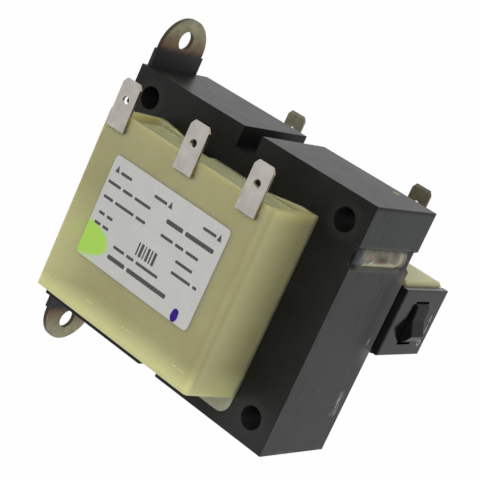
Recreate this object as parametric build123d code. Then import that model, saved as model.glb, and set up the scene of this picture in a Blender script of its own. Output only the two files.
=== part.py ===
"""Foot-mounted control transformer with a welded EI core, covered coil and a rocker breaker.

Millimetres. X runs along the coil's axis, with the terminals towards -X. Y runs through the lamination
stack, with the label towards -Y. Z is up from the panel that the foot is screwed to, and the origin lies
on that panel, half way between the foot's two holes.
"""
import os
from math import tan, radians
from build123d import *

# Laminations: the centre leg's width sets the whole E and I outline
LEG = 28.575
STACK = 29.0
STACK_SHIFT = 0.8
CORE_HOLE = 6.4
NOTCH_WIDTH = 6.5
NOTCH_DEPTH = 6.0

# Weld across the joint of E and I, sunk in a shallow groove
WELD_WIDTH = 6.0
WELD_FLOOR = 4.6
WELD_DEPTH = 1.0
WELD_CROWN = 0.8
WELD_START = 1.0
WELD_LENGTH = 24.5

# Mounting foot: a flat strap with a round-nosed ear at each end
FOOT_LENGTH = 101.6
FOOT_WIDTH = 20.3
FOOT_THICK = 1.2
FOOT_SHOULDER = 81.2
EAR_RADIUS = 9.3
FOOT_HOLE = 5.6
FOOT_HOLE_INSET = 6.35

# Bobbin and windings
BOBBIN_GAP = 0.3
BOBBIN_WALL = 1.2
BOBBIN_CORNER = 1.5
FLANGE_THICK = 1.5
FLANGE_GAP = 0.25
FLANGE_LAP = 0.4
PRIMARY_BUILD = 5.4
BARRIER_BUILD = 0.5
SECONDARY_BUILD = 4.3
WRAP_BUILD = 0.6

# Coil covers: open shells against the core's front and rear faces
COVER_DEPTH = 22.0
COVER_WALL = 1.5
COVER_SIDE = 0.3
COVER_LIP = 5.4
COVER_LIP_DRAFT = 1.8
COVER_RIM = 5.4
COVER_RIM_DRAFT = 1.0
COVER_CORNER = 0.9
CAVITY_CORNER = 0.6
RIM_ROUND = 0.7
TRAY_SINK = 2.7
TRAY_FLOOR = 1.0
TRAY_RIM = 2.2
TRAY_CORNER = 3.0
REAR_RIM = 1.8
SADDLE_LENGTH = 27.0
SADDLE_SHIFT = -1.5
SADDLE_RUN = 18.0
LEADWAY_Z = -12.8
LEADWAY_WIDTH = 4.0
LEADWAY_MOUTH = 11.0
LEADWAY_DEPTH = 1.2
SLIT_LENGTH = 6.0
SLIT_WIDTH = 0.8
SLIT_DEPTH = 0.7

# Insulation cards that show below the covers
CARD_THICK = 0.4
CARD_DROP = 11.0
CARD_TUCK = 0.75
CARD_INSET = 0.3
CARD_CORNER = 3.5

# Quick-connect tabs, a quarter of an inch wide, bent up outside the cover
TAB_WIDTH = 6.35
TAB_THICK = 0.8
TAB_STANDOFF = 0.4
TAB_BEND = 0.3
TAB_REACH = 14.3
TAB_TAIL = 10.0
TAB_JOINT = 2.5
TAB_HOLE = 2.2
TAB_HOLE_INSET = 5.4
TIP_CUT_ALONG = 1.4
TIP_CUT_ACROSS = 0.8
TIP_BEVEL_LONG = 0.8
TIP_BEVEL_DEEP = 0.25
COMMON_TAB_Z = -23.9
LOW_TAB_Z = 1.2
HIGH_TAB_Z = 23.3
DIRECT_TAB_Z = -23.9
PROTECTED_TAB_Z = 24.0

# Lead wires
LEAD = 0.8
LEAD_HOLE_GAP = 0.15
LEAD_CLEARANCE = 0.5

# Blank rating label on the front cover
LABEL_LENGTH = 42.0
LABEL_HEIGHT = 28.2
LABEL_THICK = 0.15
LABEL_CORNER = 1.3
LABEL_X = -2.8
LABEL_Z = 0.54
LABEL_TURN = -0.45

# Breaker in its pocket on the rear cover
BREAKER_X = -4.6
BEZEL_LENGTH = 19.8
BEZEL_SETBACK = 0.2
BEZEL_THICK = 2.0
BEZEL_ROUND = 0.4
CASE_LENGTH = 18.7
CASE_DEPTH = 16.4
CASE_HEIGHT = 15.0
CASE_WALL = 1.3
BASE_THICK = 1.5
POCKET_FIT = 0.15
POCKET_WALL = 1.5
POCKET_PROUD = 0.3
POCKET_CHAMFER = 1.1
POCKET_SETBACK = 0.8
POCKET_RELIEF = 2.6

# Rocker: a drum about its pin, with a dished face and a nose that works the snap spring
ROCKER_RADIUS = 6.8
ROCKER_WIDTH = 6.4
ROCKER_GAP = 0.25
WINDOW_GAP = 0.6
ROCKER_FACE = 4.8
ROCKER_DISH = 9.0
ROCKER_TILT = 14.0
ROCKER_KEEL = 2.0
ROCKER_EDGE = 0.3
NOSE_WIDTH = 2.4
NOSE_LENGTH = 4.6
NOSE_ROUND = 1.08
PIVOT_DEPTH = 3.4
PIN = 1.6
PIN_GAP = 0.05
CHEEK_WIDTH = 1.8
CHEEK_LENGTH = 6.0
CHEEK_DROP = 2.4

# Breaker mechanism
TERMINAL_WIDTH = 4.0
TERMINAL_THICK = 0.8
TERMINAL_SPREAD = 9.6
TERMINAL_OUT = 4.9
TERMINAL_TAIL = 6.2
SHELF_REACH = 7.0
SHELF_RISE = 0.9
CONTACT = 3.0
CONTACT_THICK = 0.8
BLADE_LENGTH = 13.6
BLADE_WIDTH = 4.0
BLADE_THICK = 0.5
SPRING_SPAN = 11.0
SPRING_WIDTH = 3.0
SPRING_THICK = 0.3
SPRING_GAP = 0.4

# How far a cutting shape runs past the face that it opens
OVERCUT = 1.0

# Places worked out from the driving dimensions
HALF = LEG / 2
CORE_LONG = 2.5 * LEG
CORE_TALL = 3 * LEG
CORE_END = CORE_LONG / 2
CORE_BOTTOM = FOOT_THICK
CORE_TOP = CORE_BOTTOM + CORE_TALL
CORE_MID = CORE_BOTTOM + CORE_TALL / 2
JOINT_X = HALF - CORE_END
YOKE_X = CORE_END - HALF
HOLE_X = CORE_END - HALF / 2
HOLE_Z = CORE_TALL / 2 - HALF / 2
FRONT = STACK_SHIFT - STACK / 2
REAR = STACK_SHIFT + STACK / 2

COIL_END = YOKE_X - FLANGE_GAP - FLANGE_THICK
TUBE_Y = STACK / 2 + BOBBIN_GAP + BOBBIN_WALL
TUBE_Z = LEG / 2 + BOBBIN_GAP + BOBBIN_WALL
COIL_BUILD = PRIMARY_BUILD + BARRIER_BUILD + SECONDARY_BUILD + WRAP_BUILD
SECONDARY_OUTER = COIL_BUILD - WRAP_BUILD
PRIMARY_LEAD_Y = STACK_SHIFT - TUBE_Y - PRIMARY_BUILD / 2
PRIMARY_LEAD_Z = [CORE_MID - TUBE_Z + BOBBIN_CORNER, CORE_MID, CORE_MID + TUBE_Z - BOBBIN_CORNER]
SECONDARY_Y = STACK_SHIFT + TUBE_Y + SECONDARY_OUTER
DIRECT_LEAD_X = -COIL_END + 2 * LEAD
DIRECT_LEAD_Y = STACK_SHIFT + TUBE_Y + COIL_BUILD + FLANGE_LAP + LEAD_CLEARANCE + LEAD / 2
DIRECT_LEAD_Z = CORE_MID - TUBE_Z + BOBBIN_CORNER
BREAKER_LEAD_Z = CORE_MID + TUBE_Z - BOBBIN_CORNER

COVER_HALF = LEG + COVER_SIDE
LIP_X = YOKE_X + COVER_LIP
RIM_X = JOINT_X - COVER_RIM
TRAY_X = RIM_X + TRAY_SINK
CAVITY_X = TRAY_X + TRAY_FLOOR
TAIL_X = CAVITY_X + TAB_THICK
BLADE_OUT = COVER_DEPTH + TAB_STANDOFF
TAIL_OUT = BLADE_OUT - TAB_TAIL

POCKET_TOP = CORE_TOP + POCKET_PROUD
BEZEL_TOP = POCKET_TOP + BEZEL_THICK
CASE_BOTTOM = POCKET_TOP - CASE_HEIGHT
BEZEL_DEPTH = COVER_DEPTH - BEZEL_SETBACK
BREAKER_Y = REAR + COVER_DEPTH - BEZEL_DEPTH / 2
PIVOT_Z = BEZEL_TOP - PIVOT_DEPTH
TERMINAL_Y = BREAKER_Y + TERMINAL_OUT
TERMINAL_END = CASE_BOTTOM - TERMINAL_TAIL
LOAD_SHELF_Z = CASE_BOTTOM + BASE_THICK + SHELF_RISE + TERMINAL_THICK
LINE_SHELF_Z = LOAD_SHELF_Z + 2 * CONTACT_THICK
BLADE_TOP = LINE_SHELF_Z + BLADE_THICK
SPRING_TOP = PIVOT_Z - NOSE_LENGTH - SPRING_GAP
LINE_X = BREAKER_X + TERMINAL_SPREAD / 2
LOAD_X = BREAKER_X - TERMINAL_SPREAD / 2
SHELF_Y = TERMINAL_Y - SHELF_REACH / 2


def out(side, distance):
    """Y of a place this far out from the core's front face (side -1) or rear face (side 1)."""
    return STACK_SHIFT + side * (STACK / 2 + distance)


def block(x0, x1, y0, y1, z0, z1):
    """Rectangular block between two opposite corners."""
    middle = Pos((x0 + x1) / 2, (y0 + y1) / 2, (z0 + z1) / 2)
    return middle * Box(abs(x1 - x0), abs(y1 - y0), abs(z1 - z0))


def along_x(outline, x0, x1):
    """Solid of an outline drawn in Y and Z."""
    return extrude(Plane.YZ.offset(x0) * outline, amount=x1 - x0)


def along_y(outline, y0, y1):
    """Solid of an outline drawn in X and Z."""
    return extrude(Plane.XZ.offset(-y1) * outline, amount=y1 - y0)


def along_z(outline, z0, z1):
    """Solid of an outline drawn in X and Y."""
    return extrude(Plane.XY.offset(z0) * outline, amount=z1 - z0)


def rod_y(diameter, x, y0, y1, z):
    """Round bar along Y."""
    return along_y(Pos(x, z) * Circle(diameter / 2), y0, y1)


def corner(outline, x, y):
    """The outline's vertex nearest to a point."""
    return outline.vertices().sort_by_distance((x, y, 0))[0]


# Core

def weld_groove(face, sign):
    """Cross-section of the groove at the joint, sunk into the face at Z = face."""
    floor = face - sign * WELD_DEPTH
    mouth = face + sign * OVERCUT
    half = WELD_WIDTH / 2
    return make_face(Polyline(
        (JOINT_X - half, mouth), (JOINT_X - half, face), (JOINT_X - WELD_FLOOR / 2, floor),
        (JOINT_X + WELD_FLOOR / 2, floor), (JOINT_X + half, face), (JOINT_X + half, mouth), close=True))


def lamination(x0, x1, notch_end):
    """Outline of one lamination from x0 to x1, with the holes, the edge notch and the weld grooves."""
    outline = Pos((x0 + x1) / 2, CORE_MID) * Rectangle(x1 - x0, CORE_TALL)
    outline -= Pos(notch_end * (CORE_END - NOTCH_DEPTH / 2 + OVERCUT / 2), CORE_MID) * Rectangle(
        NOTCH_DEPTH + OVERCUT, NOTCH_WIDTH)
    for side in (-1, 1):
        outline -= Pos(notch_end * HOLE_X, CORE_MID + side * HOLE_Z) * Circle(CORE_HOLE / 2)
    outline -= weld_groove(CORE_TOP, 1)
    outline -= weld_groove(CORE_BOTTOM, -1)
    return outline


def e_lamination_stack():
    outline = lamination(JOINT_X, CORE_END, 1)
    for side in (-1, 1):
        outline -= Pos((JOINT_X + YOKE_X - OVERCUT) / 2, CORE_MID + side * 1.5 * HALF) * Rectangle(
            YOKE_X - JOINT_X + OVERCUT, HALF)
    return along_y(outline, FRONT, REAR)


def i_lamination_stack():
    return along_y(lamination(-CORE_END, JOINT_X, -1), FRONT, REAR)


def weld_bead(face, sign):
    """Bead lying on the groove's floor, crowned but below the core's face."""
    floor = face - sign * WELD_DEPTH
    left = (JOINT_X - WELD_FLOOR / 2, floor)
    right = (JOINT_X + WELD_FLOOR / 2, floor)
    crown = (JOINT_X, floor + sign * WELD_CROWN)
    outline = make_face([Line(left, right), ThreePointArc(right, crown, left)])
    return along_y(outline, FRONT + WELD_START, FRONT + WELD_START + WELD_LENGTH)


def mounting_foot():
    outline = Rectangle(FOOT_SHOULDER, FOOT_WIDTH)
    nose = FOOT_LENGTH / 2 - EAR_RADIUS
    outline += Rectangle(2 * nose, 2 * EAR_RADIUS)
    for end in (-1, 1):
        outline += Pos(end * nose, 0) * Circle(EAR_RADIUS)
    for end in (-1, 1):
        outline -= Pos(end * (FOOT_LENGTH / 2 - FOOT_HOLE_INSET), 0) * Circle(FOOT_HOLE / 2)
    return along_z(outline, 0, FOOT_THICK)


# Coil

def loop(inner, outer):
    """Cross-section of a coil layer between two distances out from the bobbin's tube."""
    ring = RectangleRounded(2 * (TUBE_Y + outer), 2 * (TUBE_Z + outer), BOBBIN_CORNER + outer)
    ring -= RectangleRounded(2 * (TUBE_Y + inner), 2 * (TUBE_Z + inner), BOBBIN_CORNER + inner)
    return Pos(STACK_SHIFT, CORE_MID) * ring


def layer(inner, build):
    return along_x(loop(inner, inner + build), -COIL_END, COIL_END)


def bobbin():
    bore = Rectangle(2 * (TUBE_Y - BOBBIN_WALL), 2 * (TUBE_Z - BOBBIN_WALL))
    tube = RectangleRounded(2 * TUBE_Y, 2 * TUBE_Z, BOBBIN_CORNER)
    rim = COIL_BUILD + FLANGE_LAP
    flange = RectangleRounded(2 * (TUBE_Y + rim), 2 * (TUBE_Z + rim), BOBBIN_CORNER)
    at_leg = Pos(STACK_SHIFT, CORE_MID)
    body = along_x(at_leg * (tube - bore), -COIL_END, COIL_END)
    for end in (-1, 1):
        inside = end * COIL_END
        outside = end * (COIL_END + FLANGE_THICK)
        body += along_x(at_leg * (flange - bore), min(inside, outside), max(inside, outside))
    for z in PRIMARY_LEAD_Z:
        hole = Pos(PRIMARY_LEAD_Y, z) * Circle(LEAD / 2 + LEAD_HOLE_GAP)
        body -= along_x(hole, -COIL_END - FLANGE_THICK, -COIL_END)
    return body


def outer_wrap():
    wrap = layer(SECONDARY_OUTER, WRAP_BUILD)
    hole = LEAD + 2 * LEAD_HOLE_GAP
    for x, z in ((DIRECT_LEAD_X, DIRECT_LEAD_Z), (LINE_X, BREAKER_LEAD_Z)):
        wrap -= rod_y(hole, x, STACK_SHIFT, out(1, COVER_DEPTH), z)
    return wrap


# Leads

def wire(*points):
    """Round wire along straight runs, bent sharply at each corner."""
    path = Polyline(*points)
    section = Plane(origin=path @ 0, z_dir=path % 0) * Circle(LEAD / 2)
    return sweep(section, path=path, transition=Transition.RIGHT)


def primary_lead(start_z, tab_z):
    """From the primary's end, through the flange, to the underside of a front tab's tail."""
    run_x = TAIL_X + LEAD / 2
    end_y = out(-1, TAIL_OUT + TAB_JOINT)
    return wire((-COIL_END, PRIMARY_LEAD_Y, start_z), (run_x, PRIMARY_LEAD_Y, start_z),
                (run_x, end_y, CORE_MID + tab_z))


def secondary_lead_direct():
    """From the secondary's rear side, round the flange, to a rear tab's tail."""
    z = CORE_MID + DIRECT_TAB_Z
    return wire((DIRECT_LEAD_X, SECONDARY_Y, DIRECT_LEAD_Z), (DIRECT_LEAD_X, DIRECT_LEAD_Y, DIRECT_LEAD_Z),
                (DIRECT_LEAD_X, DIRECT_LEAD_Y, z), (TAIL_X, DIRECT_LEAD_Y, z))


def secondary_lead_breaker():
    """From the secondary's rear side up to the breaker's line terminal."""
    return wire((LINE_X, SECONDARY_Y, BREAKER_LEAD_Z), (LINE_X, TERMINAL_Y, BREAKER_LEAD_Z),
                (LINE_X, TERMINAL_Y, TERMINAL_END))


def breaker_jumper():
    """From the breaker's load terminal straight to the protected tab's tail."""
    z = CORE_MID + PROTECTED_TAB_Z
    return wire((LOAD_X - TERMINAL_WIDTH / 2, TERMINAL_Y, z), (TAIL_X, TERMINAL_Y, z))


# Terminals

def tab(side, tab_z):
    """Tab with its tail under the tray's floor and its blade bent up outside the cover."""
    tail_y = out(side, TAIL_OUT)
    near_y = out(side, BLADE_OUT)
    far_y = out(side, BLADE_OUT + TAB_THICK)
    tip_x = JOINT_X - TAB_REACH
    bevel_x = tip_x + TIP_BEVEL_LONG
    profile = make_face(Polyline(
        (CAVITY_X, tail_y), (TAIL_X, tail_y), (TAIL_X, far_y), (bevel_x, far_y),
        (tip_x, far_y - side * TIP_BEVEL_DEEP), (tip_x, near_y + side * TIP_BEVEL_DEEP), (bevel_x, near_y),
        (CAVITY_X, near_y), close=True))
    profile = fillet(corner(profile, CAVITY_X, near_y), TAB_BEND)
    profile = fillet(corner(profile, TAIL_X, far_y), TAB_BEND)
    middle = CORE_MID + tab_z
    half = TAB_WIDTH / 2
    piece = along_z(profile, middle - half, middle + half)
    low_y = min(near_y, far_y) - OVERCUT
    high_y = max(near_y, far_y) + OVERCUT
    for edge in (-1, 1):
        rim = middle + edge * half
        tip_cut = make_face(Polyline((tip_x, rim - edge * TIP_CUT_ACROSS), (tip_x + TIP_CUT_ALONG, rim),
                                     (tip_x, rim), close=True))
        piece -= along_y(tip_cut, low_y, high_y)
    return piece - rod_y(TAB_HOLE, tip_x + TAB_HOLE_INSET, low_y, high_y, middle)


def tab_slot(side, tab_z):
    """Slot in a cover's outer wall that a tab's tail passes through."""
    middle = CORE_MID + tab_z
    return block(CAVITY_X, TAIL_X, out(side, COVER_DEPTH - COVER_WALL - CAVITY_CORNER),
                 out(side, COVER_DEPTH + OVERCUT), middle - TAB_WIDTH / 2, middle + TAB_WIDTH / 2)


# Covers

def insulation_card(side):
    """Thin card on the yoke's face, tucked under the cover's lip."""
    half = COVER_HALF - CARD_INSET
    low = YOKE_X + CARD_TUCK
    high = YOKE_X + CARD_DROP
    near_y, far_y = sorted((out(side, 0), out(side, CARD_THICK)))
    card = block(low, high, near_y, far_y, CORE_MID - half, CORE_MID + half)
    return fillet(card.edges().filter_by(Axis.Y).sort_by(Axis.X)[-2:], CARD_CORNER)


def saddle():
    """Dip in a cover's rear rim, down to the tray's floor, with long sloping ends."""
    low = SADDLE_LENGTH / 2
    high = low + SADDLE_RUN * (1 + OVERCUT / TRAY_SINK)
    middle = CORE_MID + SADDLE_SHIFT
    top = RIM_X - OVERCUT
    return make_face(Polyline((TRAY_X, middle - low), (TRAY_X, middle + low), (top, middle + high),
                              (top, middle - high), close=True))


def leadway():
    """Notch through the tray's floor at its rear edge, wider at the mouth, for a lead."""
    floor = TRAY_X + LEADWAY_DEPTH
    middle = CORE_MID + LEADWAY_Z
    bottom = LEADWAY_WIDTH / 2
    mouth = LEADWAY_MOUTH / 2
    return make_face(Polyline((floor, middle - bottom), (floor, middle + bottom), (TRAY_X, middle + mouth),
                              (TRAY_X, middle - mouth), close=True))


def cover_shell(side):
    """Open-backed cover with a sunken terminal tray, whose rear rim dips between the outer tabs."""
    outer = make_face(Polyline(
        (RIM_X + COVER_RIM_DRAFT, out(side, 0)), (RIM_X, out(side, COVER_DEPTH)),
        (LIP_X - COVER_LIP_DRAFT, out(side, COVER_DEPTH)), (LIP_X, out(side, 0)), close=True))
    shell = along_z(outer, CORE_MID - COVER_HALF, CORE_MID + COVER_HALF)
    outside = shell.edges().filter_by(Axis.X).sort_by(Axis.Y)
    shell = fillet(outside[:2] if side < 0 else outside[-2:], COVER_CORNER)
    rim = shell.faces().sort_by(Axis.X)[0].edges().sort_by(Axis.Y)
    shell = fillet(rim[:-1] if side < 0 else rim[1:], RIM_ROUND)

    inner_half = COVER_HALF - COVER_WALL
    inner_depth = COVER_DEPTH - COVER_WALL
    inner_lip = LIP_X - COVER_WALL
    slope = COVER_LIP_DRAFT / COVER_DEPTH
    cavity = make_face(Polyline(
        (CAVITY_X, out(side, -OVERCUT)), (CAVITY_X, out(side, inner_depth)),
        (inner_lip - slope * inner_depth, out(side, inner_depth)),
        (inner_lip + slope * OVERCUT, out(side, -OVERCUT)), close=True))
    cavity = along_z(cavity, CORE_MID - inner_half, CORE_MID + inner_half)
    inside = cavity.edges().filter_by(Axis.X).sort_by(Axis.Y)
    cavity = fillet(inside[:2] if side < 0 else inside[-2:], CAVITY_CORNER)
    shell -= cavity

    tray_depth = COVER_DEPTH - TRAY_RIM - REAR_RIM
    tray = Pos(out(side, REAR_RIM + tray_depth / 2), CORE_MID) * RectangleRounded(
        tray_depth, 2 * inner_half, TRAY_CORNER)
    shell -= along_x(tray, RIM_X - OVERCUT, TRAY_X)
    near_y, far_y = sorted((out(side, -OVERCUT), out(side, REAR_RIM + OVERCUT)))
    shell -= along_y(saddle(), near_y, far_y)
    shell -= along_y(leadway(), near_y, far_y)
    return shell - insulation_card(side)


def tray_slit(side, tab_z):
    """Narrow slit in the tray's floor along the rim, beside a tab."""
    z = CORE_MID + tab_z - TAB_WIDTH / 2
    return block(TRAY_X - OVERCUT, TRAY_X + SLIT_DEPTH, out(side, COVER_DEPTH - TRAY_RIM - SLIT_WIDTH),
                 out(side, COVER_DEPTH - TRAY_RIM), z - SLIT_LENGTH, z)


def front_cover():
    cover = cover_shell(-1)
    for tab_z in (COMMON_TAB_Z, LOW_TAB_Z, HIGH_TAB_Z):
        cover -= tab_slot(-1, tab_z)
    for tab_z in (LOW_TAB_Z, HIGH_TAB_Z):
        cover -= tray_slit(-1, tab_z)
    return cover


def rear_cover():
    """The rear cover carries the breaker's pocket on its upper wall."""
    cover = cover_shell(1)
    inner_x = CASE_LENGTH / 2 + POCKET_FIT
    inner_y = CASE_DEPTH / 2 + POCKET_FIT
    outer_x = inner_x + POCKET_WALL
    outer_y = BREAKER_Y + inner_y + POCKET_WALL
    cover_top = CORE_MID + COVER_HALF
    pocket = block(BREAKER_X - outer_x, BREAKER_X + outer_x, REAR + POCKET_SETBACK, outer_y,
                   cover_top - COVER_WALL, POCKET_TOP)
    ends = pocket.faces().sort_by(Axis.Z)[-1].edges().filter_by(Axis.Y)
    pocket = chamfer(ends, POCKET_CHAMFER)
    pocket -= block(BREAKER_X - outer_x, BREAKER_X + outer_x, REAR, BREAKER_Y - inner_y,
                    POCKET_TOP - POCKET_RELIEF, POCKET_TOP)
    cover += pocket
    cover -= block(BREAKER_X - inner_x, BREAKER_X + inner_x, BREAKER_Y - inner_y, BREAKER_Y + inner_y,
                   cover_top - COVER_WALL - OVERCUT, POCKET_TOP + OVERCUT)
    for tab_z in (DIRECT_TAB_Z, PROTECTED_TAB_Z):
        cover -= tab_slot(1, tab_z)
    return cover


def rating_label():
    outline = Pos(LABEL_X, CORE_MID + LABEL_Z) * Rot(0, 0, LABEL_TURN) * RectangleRounded(
        LABEL_HEIGHT, LABEL_LENGTH, LABEL_CORNER)
    return along_y(outline, out(-1, COVER_DEPTH + LABEL_THICK), out(-1, COVER_DEPTH))


# Breaker

def breaker_case():
    """Bezel and box in one moulding, with a drum-shaped window and two cheeks for the pin."""
    bezel_x = BEZEL_LENGTH / 2
    bezel_y = BEZEL_DEPTH / 2
    case = block(BREAKER_X - bezel_x, BREAKER_X + bezel_x, BREAKER_Y - bezel_y, BREAKER_Y + bezel_y,
                 POCKET_TOP, BEZEL_TOP)
    case = fillet(case.faces().sort_by(Axis.Z)[-1].edges(), BEZEL_ROUND)
    case += block(BREAKER_X - CASE_LENGTH / 2, BREAKER_X + CASE_LENGTH / 2, BREAKER_Y - CASE_DEPTH / 2,
                  BREAKER_Y + CASE_DEPTH / 2, CASE_BOTTOM, POCKET_TOP)
    inner_x = CASE_LENGTH / 2 - CASE_WALL
    inner_y = CASE_DEPTH / 2 - CASE_WALL
    case -= block(BREAKER_X - inner_x, BREAKER_X + inner_x, BREAKER_Y - inner_y, BREAKER_Y + inner_y,
                  CASE_BOTTOM - OVERCUT, POCKET_TOP)
    window = ROCKER_WIDTH / 2 + ROCKER_GAP
    for side in (-1, 1):
        near_y, far_y = sorted((BREAKER_Y + side * window, BREAKER_Y + side * (window + CHEEK_WIDTH)))
        case += block(BREAKER_X - CHEEK_LENGTH / 2, BREAKER_X + CHEEK_LENGTH / 2, near_y, far_y,
                      PIVOT_Z - CHEEK_DROP, POCKET_TOP)
    drum = 2 * (ROCKER_RADIUS + WINDOW_GAP)
    case -= rod_y(drum, BREAKER_X, BREAKER_Y - window, BREAKER_Y + window, PIVOT_Z)
    pin_half = window + CHEEK_WIDTH
    return case - rod_y(PIN, BREAKER_X, BREAKER_Y - pin_half, BREAKER_Y + pin_half, PIVOT_Z)


def breaker_base():
    """Plate that closes the case, with the two terminals through it."""
    half_x = CASE_LENGTH / 2 - CASE_WALL
    half_y = CASE_DEPTH / 2 - CASE_WALL
    plate = block(BREAKER_X - half_x, BREAKER_X + half_x, BREAKER_Y - half_y, BREAKER_Y + half_y,
                  CASE_BOTTOM, CASE_BOTTOM + BASE_THICK)
    for x in (LINE_X, LOAD_X):
        plate -= block(x - TERMINAL_WIDTH / 2, x + TERMINAL_WIDTH / 2, TERMINAL_Y - TERMINAL_THICK / 2,
                       TERMINAL_Y + TERMINAL_THICK / 2, CASE_BOTTOM, CASE_BOTTOM + BASE_THICK)
    return plate


def breaker_rocker():
    """Drum sector with a dished face and a nose, tilted with its +X end raised."""
    reach = ROCKER_RADIUS + OVERCUT
    brow = ROCKER_FACE + reach * tan(radians(ROCKER_DISH))
    dish = make_face(Polyline((0, ROCKER_FACE), (reach, brow), (reach, 2 * reach), (-reach, 2 * reach),
                              (-reach, brow), close=True))
    profile = Circle(ROCKER_RADIUS) - dish
    profile -= Pos(0, -ROCKER_KEEL - reach / 2) * Rectangle(2 * reach, reach)
    profile += Pos(0, -NOSE_LENGTH / 2) * Rectangle(NOSE_WIDTH, NOSE_LENGTH)
    tips = profile.vertices().sort_by(Axis.Y)[:2]
    profile = fillet(tips, NOSE_ROUND)
    profile -= Circle(PIN / 2 + PIN_GAP)
    placed = Pos(BREAKER_X, PIVOT_Z) * Rot(0, 0, ROCKER_TILT) * profile
    rocker = along_y(placed, BREAKER_Y - ROCKER_WIDTH / 2, BREAKER_Y + ROCKER_WIDTH / 2)
    brows = rocker.faces().filter_by(GeomType.PLANE).sort_by(Axis.Z)[-2:]
    return chamfer(brows.edges().filter_by(Axis.Y, reverse=True), ROCKER_EDGE)


def rocker_pin():
    half = ROCKER_WIDTH / 2 + ROCKER_GAP + CHEEK_WIDTH
    return rod_y(PIN, BREAKER_X, BREAKER_Y - half, BREAKER_Y + half, PIVOT_Z)


def terminal(x, shelf_z):
    """Strip through the base with an inner shelf for a contact or the blade."""
    half = TERMINAL_WIDTH / 2
    outer_y = TERMINAL_Y + TERMINAL_THICK / 2
    post = block(x - half, x + half, TERMINAL_Y - TERMINAL_THICK / 2, outer_y, TERMINAL_END, shelf_z)
    shelf = block(x - half, x + half, outer_y - SHELF_REACH, outer_y, shelf_z - TERMINAL_THICK, shelf_z)
    return post + shelf


def contact(z0):
    return along_z(Pos(LOAD_X, SHELF_Y) * Circle(CONTACT / 2), z0, z0 + CONTACT_THICK)


def bimetal_blade():
    return block(BREAKER_X - BLADE_LENGTH / 2, BREAKER_X + BLADE_LENGTH / 2, SHELF_Y - BLADE_WIDTH / 2,
                 SHELF_Y + BLADE_WIDTH / 2, LINE_SHELF_Z, BLADE_TOP)


def snap_spring():
    """Bowed leaf that stands on the blade, with its crown under the rocker's nose."""
    half = SPRING_SPAN / 2
    inner = half - SPRING_THICK
    outline = make_face([
        ThreePointArc((-half, BLADE_TOP), (0, SPRING_TOP), (half, BLADE_TOP)),
        Line((half, BLADE_TOP), (inner, BLADE_TOP)),
        ThreePointArc((inner, BLADE_TOP), (0, SPRING_TOP - SPRING_THICK), (-inner, BLADE_TOP)),
        Line((-inner, BLADE_TOP), (-half, BLADE_TOP))])
    return along_y(Pos(BREAKER_X, 0) * outline, SHELF_Y - SPRING_WIDTH / 2, SHELF_Y + SPRING_WIDTH / 2)


def all_nodes():
    """Every sub-part by its node name."""
    return {
        "e_lamination_stack": e_lamination_stack(),
        "i_lamination_stack": i_lamination_stack(),
        "weld_bead_upper": weld_bead(CORE_TOP, 1),
        "weld_bead_lower": weld_bead(CORE_BOTTOM, -1),
        "mounting_foot": mounting_foot(),
        "bobbin": bobbin(),
        "primary_winding": layer(0, PRIMARY_BUILD),
        "winding_barrier": layer(PRIMARY_BUILD, BARRIER_BUILD),
        "secondary_winding": layer(PRIMARY_BUILD + BARRIER_BUILD, SECONDARY_BUILD),
        "outer_wrap": outer_wrap(),
        "front_cover": front_cover(),
        "rear_cover": rear_cover(),
        "front_insulation_card": insulation_card(-1),
        "rear_insulation_card": insulation_card(1),
        "primary_tab_common": tab(-1, COMMON_TAB_Z),
        "primary_tab_low": tab(-1, LOW_TAB_Z),
        "primary_tab_high": tab(-1, HIGH_TAB_Z),
        "secondary_tab_direct": tab(1, DIRECT_TAB_Z),
        "secondary_tab_protected": tab(1, PROTECTED_TAB_Z),
        "primary_lead_common": primary_lead(PRIMARY_LEAD_Z[0], COMMON_TAB_Z),
        "primary_lead_low": primary_lead(PRIMARY_LEAD_Z[1], LOW_TAB_Z),
        "primary_lead_high": primary_lead(PRIMARY_LEAD_Z[2], HIGH_TAB_Z),
        "secondary_lead_direct": secondary_lead_direct(),
        "secondary_lead_breaker": secondary_lead_breaker(),
        "breaker_jumper": breaker_jumper(),
        "rating_label": rating_label(),
        "breaker_case": breaker_case(),
        "breaker_base": breaker_base(),
        "breaker_rocker": breaker_rocker(),
        "rocker_pin": rocker_pin(),
        "line_terminal": terminal(LINE_X, LINE_SHELF_Z),
        "load_terminal": terminal(LOAD_X, LOAD_SHELF_Z),
        "fixed_contact": contact(LOAD_SHELF_Z),
        "moving_contact": contact(LOAD_SHELF_Z + CONTACT_THICK),
        "bimetal_blade": bimetal_blade(),
        "snap_spring": snap_spring(),
    }


os.makedirs("parts", exist_ok=True)
for node, shape in all_nodes().items():
    export_step(shape, f"parts/{node}.step")
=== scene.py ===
import math

import bmesh
import bpy
from mathutils import Matrix, Vector


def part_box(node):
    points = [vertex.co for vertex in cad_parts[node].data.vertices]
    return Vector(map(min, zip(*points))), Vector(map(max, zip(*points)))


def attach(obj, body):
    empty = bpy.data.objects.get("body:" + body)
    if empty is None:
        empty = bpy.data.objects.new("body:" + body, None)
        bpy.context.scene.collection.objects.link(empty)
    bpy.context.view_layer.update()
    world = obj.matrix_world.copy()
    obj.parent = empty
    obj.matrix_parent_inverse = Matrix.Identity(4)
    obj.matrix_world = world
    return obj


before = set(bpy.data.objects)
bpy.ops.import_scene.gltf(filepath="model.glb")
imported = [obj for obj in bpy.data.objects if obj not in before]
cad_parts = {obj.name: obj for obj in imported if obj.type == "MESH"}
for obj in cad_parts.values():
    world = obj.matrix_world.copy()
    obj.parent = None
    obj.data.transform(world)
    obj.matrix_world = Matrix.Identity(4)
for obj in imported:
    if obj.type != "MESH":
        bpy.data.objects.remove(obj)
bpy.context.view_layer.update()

MM = 0.001

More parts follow.
